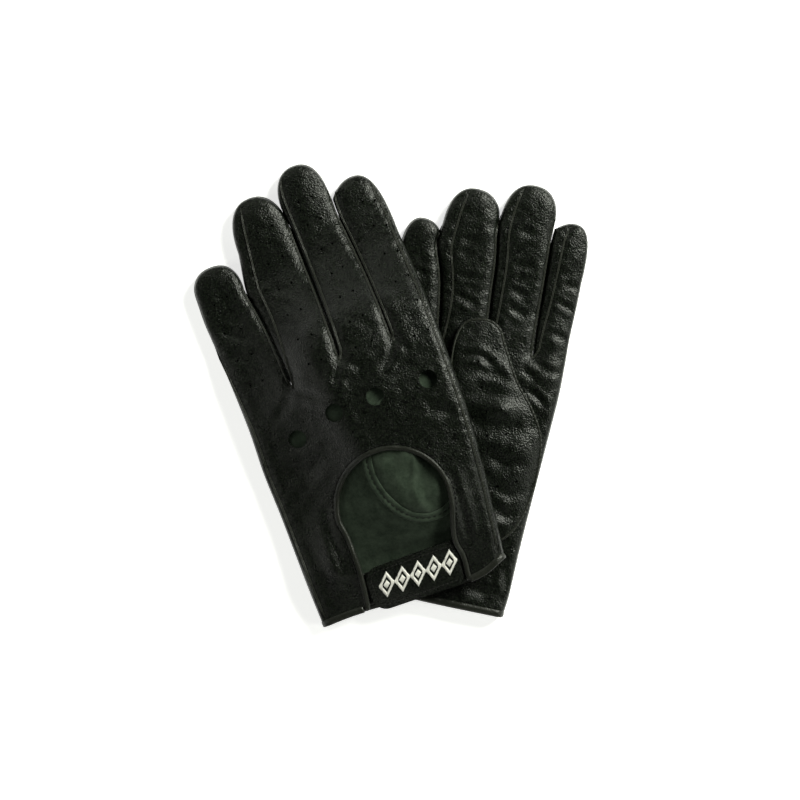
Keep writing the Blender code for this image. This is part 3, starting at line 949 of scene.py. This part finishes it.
def build_bindings(glove):
    """The piping round the wrist window and the folded strip on the hem."""
    side, dorsal = glove.side, glove.dorsal_up
    body = f"{side}_glove"
    edge = glove.window_edge()
    points, normals = glove.frame_on(edge, dorsal)
    profile = BINDING if dorsal else [(-x, z) for x, z in BINDING][::-1]
    piping = sweep(f"{side}_window_piping", points, normals, profile, TRIM)
    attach(piping, body)
    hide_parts(f"{side}_window_binding")
    points, normals = glove.frame_on(offset_path(edge, 2.3), dorsal)
    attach(stitches(f"{side}_window_thread", points, normals, SEWING, 2.8, 2.0, 0.2), body)
    hem = curve(glove.plan["hem"], EDGE)
    hem[0], hem[-1] = glove.side_path[0], glove.side_path[-1]
    left = hem[hem[:, 0] < edge[0][0] - 0.6]
    right = hem[hem[:, 0] > edge[-1][0] + 0.6]
    points, normals = [], []
    for run, upper in ((left[::-1], dorsal), (hem, not dorsal), (right[::-1], dorsal)):
        raised, _ = glove.frame_on(run + (0, 1.4), upper)
        points.append(np.column_stack([glove.to_world(run + (0, 0.2)), raised[:, 2]]))
        normals.append(np.tile((0, 0, 1.0 if upper else -1.0), (len(run), 1)))
    points, normals = np.vstack(points), np.vstack(normals)
    keep = np.concatenate([[True], np.linalg.norm(np.diff(points, axis=0), axis=1) > 0.4])
    points, normals = smooth_rows(points[keep], 2), unit(smooth_rows(normals[keep], 6))
    strip = sweep(f"{side}_hem_strip", points, normals, HEM, TRIM)
    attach(strip, body)
    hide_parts(f"{side}_hem_binding")


def slab(name, outline, height, thickness, glove, material, step=1.6):
    """A thin piece on the back of the hand: its outer face a given height over the middle."""
    loop = closed(outline)
    verts, faces = triangulate(outline, [], [], loop, (0.15, 0.45, 0.9), step)
    roll = 0.35 * (1 - np.clip(measure(verts, loop)[0] / 0.9, 0, 1)) ** 2
    points = glove.over_middle(verts, glove.outward * (height(verts) - roll))
    return make_piece(name, points, faces[:, ::glove.outward], material, None, thickness)


def strap_outline(glove, margin):
    """The strap's plan, round at its free end, running under the binding at the other."""
    low, high = glove.plan["strap_low"] + margin, STRAP["high"] - margin
    tip, root = STRAP["tip"] + margin, STRAP["root"]
    radius = STRAP["corner"] - margin
    corners = [ring((tip + radius, y), (radius, radius), 48)[i:j]
               for y, i, j in ((high - radius, 12, 25), (low + radius, 24, 37))]
    return resample(np.vstack([[(root, low), (root, high)], *corners, [(root, low)]]), EDGE)[:-1]


def panel_level(glove):
    """Height of the back panel's face beside the slit, over the middle plane."""
    spot = np.array([[-27.0, 12], [36.0, 12]])
    return float(np.abs(glove.rise(spot, glove.dorsal_up)).mean())


def build_strap(glove):
    """The strap with its topstitching, embroidery, backing and hook pad."""
    side, level = glove.side, panel_level(glove)

    def top(p):
        """Height of the strap's face: crowned, with a groove for the topstitching."""
        root = np.clip((p[:, 0] - 25) / 9, 0, 1)
        crown = 0.5 * (1 - ((p[:, 1] - 8) / 13) ** 2)
        edge = measure(p, closed(strap_outline(glove, 0)))[0]
        groove = 0.28 * np.exp(-((edge - 2.6) / 0.7) ** 2)
        return level - 0.45 + crown * 0.6 - 2.0 * root ** 2 - groove

    strap = slab(f"{side}_strap_leather", strap_outline(glove, 0), top, 1.0, glove, NAPPA, 1.3)
    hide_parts(f"{side}_strap")
    backing = slab(f"{side}_strap_suede", strap_outline(glove, 0.7), lambda p: top(p) - 1.15,
                   0.5, glove, BACKING)
    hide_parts(f"{side}_strap_backing")
    hooks = slab(f"{side}_hook_tape", rectangle(-15, 3, 12, 16.5), lambda p: top(p) - 1.8,
                 0.7, glove, HOOKS)
    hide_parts(f"{side}_hook_pad")
    line = strap_outline(glove, 2.6)
    line = line[line[:, 0] < 29]
    shift = np.linalg.norm(np.roll(line, 1, axis=0) - line, axis=1).argmax()
    line = np.roll(line, -shift, axis=0)
    points = glove.over_middle(line, glove.outward * (top(line) + 0.1))
    normals = np.tile((0, 0, float(glove.outward)), (len(points), 1))
    topstitch = stitches(f"{side}_strap_thread", points, normals, TOPSTITCH, 2.5, 1.8, 0.2)
    emblem = embroidery(glove, top)
    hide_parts(f"{side}_strap_emblem")
    root, out = glove.to_world(np.array([[33.0, 8], [25.0, 8]]))
    z = float(glove.middle(np.array([root]))[0])
    for piece in (strap, backing, hooks, topstitch, emblem):
        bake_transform(piece)


def diamond_threads():
    """Thread ends in the plan for a chain of hollow satin-stitched diamonds."""
    count, width, half_height, lean = 5, 8.7, 6.3, 0.3
    rows = []
    for k in range(count):
        for t in np.arange(0.3, width - 0.25, 0.37):
            share = 1 - abs(2 * t / width - 1)
            outer = half_height * share + 0.5
            hollow = outer - 2.9
            core = hollow - 1.3
            spans = [(hollow, outer), (-outer, -hollow)] if hollow > 0.3 else [(-outer, outer)]
            if core > 0.2:
                spans.append((-core, core))
            x, middle = -14.6 + k * width + t, 9.3
            rows += [((x + lean * low, middle + low), (x + lean * high, middle + high))
                     for low, high in spans]
    return rows


def embroidery(glove, top):
    """The strap's emblem, thread by thread."""
    verts, faces = [], []
    arch = np.array([-0.2, 0.14, 0.26, 0.26, 0.14, -0.2])
    fat = np.array([0.10, 0.19, 0.21, 0.21, 0.19, 0.10])
    for ends in diamond_threads():
        line = np.linspace(*ends, len(arch))
        centre = glove.over_middle(line, glove.outward * (top(line) + arch))
        _, across, up = axes(centre[-1] - centre[0], (0, 0, 1.0))
        faces += tube(len(verts), len(arch), len(THREAD_ROUND))
        verts += [c + r * (cos(a) * across + sin(a) * up) for c, r in zip(centre, fat)
                  for a in THREAD_ROUND]
    return make_piece(f"{glove.side}_emblem_thread", verts, faces, WHITE)


def build_closure(glove):
    """The tab under the little-finger side of the slit, with its loop pad."""
    side, level = glove.side, panel_level(glove)

    def height(p):
        """Height of the tab's face: it dips from under the panel to under the strap."""
        return level - 4.6 + 2.6 * np.clip((-19 - p[:, 0]) / 7, 0, 1)

    tab = slab(f"{side}_closure_leather", rectangle(-38, 1.5, 16, 18.5), height, 0.7, glove, NAPPA)
    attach(tab, f"{side}_glove")
    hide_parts(f"{side}_closure_tab")
    pad = slab(f"{side}_loop_tape", rectangle(-17, 2.5, 14, 17.5), lambda p: height(p) + 0.75,
               0.7, glove, LOOPS)
    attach(pad, f"{side}_glove")
    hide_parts(f"{side}_loop_pad")


def build_allowance(glove):
    """The sewn edge of the thumb hole, seen inside through the wrist window."""
    half = ALLOWANCE / 2
    centre, radii = THUMB_HOLES[glove.side]
    loop = ring(centre, [r + half for r in radii], 140)
    points, normals = glove.frame_on(loop, not glove.dorsal_up)
    points = points - normals * (LEATHER + 0.7)
    flap = [(-half, -0.6), (-half, 0.15), (-half * 0.8, 0.4), (-0.4, 0.15), (0, -0.05), (0.4, 0.2),
            (half * 0.7, 0.55), (half, 0.2), (half, -0.6)]
    name = f"{glove.side}_thumb_hole"
    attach(sweep(f"{name}_allowance", points, -normals, flap, FLESH, loop=True),
            f"{glove.side}_glove")
    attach(stitches(f"{name}_thread", points - normals * 0.05, -normals, SEWING, 3, 2, 0.17),
            f"{glove.side}_glove")


class Thumb(Shell):
    """A puffed two-piece thumb, folded against its palm."""

    def __init__(self, side):
        path = closed(curve(THUMB_OUTLINE, EDGE, closed=True)[::-1])
        super().__init__(side, path, THUMB_RIMS[side], THUMB_TOPS[side], 2.1)
        self.unevenness = 0.6
        self.creases = [([(-6, 128), (4, 130), (14, 126)], 0.7, 1.7),
                        ([(0, 121), (12, 123), (24, 120)], 0.4, 2.2),
                        ([(0, 99), (16, 96), (36, 100)], 0.6, 4.0),
                        ([(18, 83), (30, 79), (43, 82)], 0.6, 3.0),
                        ([(24, 66), (36, 64), (46, 68)], 0.4, 2.4),
                        ([(28, 56), (38, 52), (45, 56)], 0.6, 2.4),
                        ([(6, 110), (20, 113), (33, 110)], 0.4, 3.0)]

    def amplitude(self, p, upper):
        full = 0.92 + 0.16 * np.exp(-((p[:, 1] - 88) / 26) ** 2)
        return (self.top * full) if upper else np.full(len(p), self.bottom)

    def unswung(self, xy, angle):
        """Where points were before the thumb swung out by an angle."""
        pivot = self.to_world(np.array([THUMB_PIVOT]))
        x, y = (xy - pivot).T
        return np.column_stack([x * cos(angle) - y * sin(angle),
                                x * sin(angle) + y * cos(angle)]) + pivot


def build_thumb_inside(glove):
    """The folded flesh side of the thumb, pressed up through the thumb hole."""
    centre, radii = THUMB_HOLES[glove.side]
    border = ring(centre, [r + 1.0 for r in radii], 90)
    fold = curve([(30, 98), (28, 82), (27, 67), (21.5, 51.5), (25, 38)], 1.0)
    verts, faces = triangulate(border, [], [], closed(border[::-1]), (0.5, 1.2), 1.2)
    depth = measure(verts, closed(border))[0]
    gap, _ = measure(verts, fold)
    side = np.where(inside(verts, np.vstack([fold, (90, 30), (90, 110)])), 1, -1)
    step = 1 / (1 + np.exp(np.clip(side * gap / 0.8, -30, 30)))
    swell = np.sqrt(np.clip(depth / 9, 0, 1))
    lift = swell * (0.4 + 2.6 * step + 0.8 * np.exp(-((gap - 1.5) / 1.4) ** 2) * step)
    lift = lift + 0.45 * swell * soft_noise(verts, 13, 9) + (0 if glove.dorsal_up else 0.8)
    at, normals = glove.frame_on(verts, not glove.dorsal_up)
    points = at - normals * (LEATHER + lift[:, None])
    # The thumb's inside takes the darker copy of the suede, which is painted shade.
    piece = make_piece(f"{glove.side}_thumb_inside", points, faces[:, ::glove.outward], FLESH_PAINTED_SHADE,
                       None, 0.5)
    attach(piece, f"{glove.side}_glove")


def build_thumb(thumb):
    """The outer piece, perforated, and the inner piece with its way into the hand."""
    side, body = thumb.side, f"{thumb.side}_thumb"
    border = thumb.side_path[:-1]
    outer_is_upper = side == "right"
    for upper in (True, False):
        outer = upper == outer_is_upper
        holes = perforations(THUMB_ROWS) if outer else [ring((23, 66), (16, 25), 60)]
        verts, faces = triangulate(border, [], holes, thumb.side_path, RING_DEPTHS, FINE)
        points, faces = merged(thumb.surface(verts, upper), faces if upper else faces[:, ::-1])
        name = "thumb_outer" if outer else "thumb_inner"
        piece = make_piece(f"{side}_{name}_leather", points, faces, NAPPA, FLESH, LEATHER)
        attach(piece, body)
        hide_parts(f"{side}_{name}")
    run = offset_path(thumb.side_path, -0.9)[:-1]
    points, normals = thumb.frame_on(run, outer_is_upper)
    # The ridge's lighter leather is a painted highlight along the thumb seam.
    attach(sweep(f"{side}_thumb_seam", points, normals, RIDGE, SEAM_PAINTED_HIGHLIGHT, loop=True), body)
    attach(stitches(f"{side}_thumb_thread", points + normals * 0.5, normals, SEWING,
                     2.6, 1.5, 0.16), body)


# --- stage --------------------------------------------------------------------
FLOOR_WHITE = 0.92
LIGHT_TINT = (0.97, 1.0, 0.89)
# Name, place in metres, diameter, share of the floor's brightness.  All stand low, so
# that leather lying flat mirrors the dark above and only its slopes catch the light.
LIGHTS = [
    ("key", (0.95, 0.80, 0.95), 0.75, 1.05),
    ("top_left", (-0.85, 1.05, 0.85), 0.7, 0.08),
    ("left", (-1.35, -0.30, 0.80), 0.7, 0.06),
    ("front", (-0.15, -1.40, 0.85), 0.7, 0.05),
    ("right", (1.40, -0.45, 0.80), 0.7, 0.10),
]
FLOOR_GLOW = 0.66                       # the table is lit softly from below as well


def area_light(name, place, size, floor_share):
    """A round soft light that gives the floor a stated share of its brightness."""
    place = Vector(place)
    light = bpy.data.lights.new(name, "AREA")
    light.shape, light.size = "DISK", size
    light.color = LIGHT_TINT
    light.energy = floor_share * pi ** 2 / FLOOR_WHITE * place.length ** 3 / place.z
    lamp = bpy.data.objects.new(name, light)
    bpy.context.collection.objects.link(lamp)
    lamp.location = place
    lamp.rotation_euler = (-place).to_track_quat("-Z", "Y").to_euler()


def build_stage():
    """A plain pale floor, soft light from above right, and a camera straight overhead."""
    bpy.ops.mesh.primitive_plane_add(size=6)
    floor = bpy.context.object
    floor.name = "floor"
    material, tree, shader = new_material("pale_floor", Emission_Color=(1, 1, 1, 1),
                                          Emission_Strength=FLOOR_GLOW, Roughness=0.9)
    cloud = texture(tree, "Noise", 3.0, Detail=2.0)
    ramp(tree, cloud, (FLOOR_WHITE - 0.01,) * 3, (FLOOR_WHITE + 0.01,) * 3, shader["Base Color"])
    floor.data.materials.append(material)
    world = bpy.data.worlds.new("studio")
    world.use_nodes = True
    background = world.node_tree.nodes["Background"].inputs
    background["Color"].default_value = (1, 1, 1, 1)
    background["Strength"].default_value = 0.03
    bpy.context.scene.world = world
    for name, place, size, share in LIGHTS:
        area_light(name, place, size, share)
    camera = bpy.data.cameras.new("camera")
    camera.lens = 170
    camera.sensor_width = 36
    view = bpy.data.objects.new("camera", camera)
    bpy.context.collection.objects.link(view)
    view.location = (0.0039, -0.0019, 2.0)
    bpy.context.scene.camera = view
    bpy.context.scene.view_settings.view_transform = "Standard"


def main():
    right, left = Glove("right"), Glove("left")
    right_thumb, left_thumb = Thumb("right"), Thumb("left")
    right.base = FLOOR_CLEARANCE
    GROUND.add(right.top_over)
    right_thumb.skin = GROUND.drape(0.02)
    right_thumb.base = 0.9
    GROUND.add(right_thumb.top_over)
    left_thumb.skin = np.full_like(GROUND.height, GROUND.height.max())
    left_thumb.base = 0.3
    for angle in np.radians(np.linspace(0, 55, 6)):
        GROUND.add(lambda xy: left_thumb.top_over(left_thumb.unswung(xy, angle)))
    left.skin = GROUND.drape(0.012)
    left.base = 0.4
    for glove in (right, left):
        build_panels(glove)
        build_seams(glove)
        build_bindings(glove)
        build_strap(glove)
        build_closure(glove)
        build_allowance(glove)
        build_thumb_inside(glove)
    build_thumb(right_thumb)
    build_thumb(left_thumb)
    build_stage()


main()
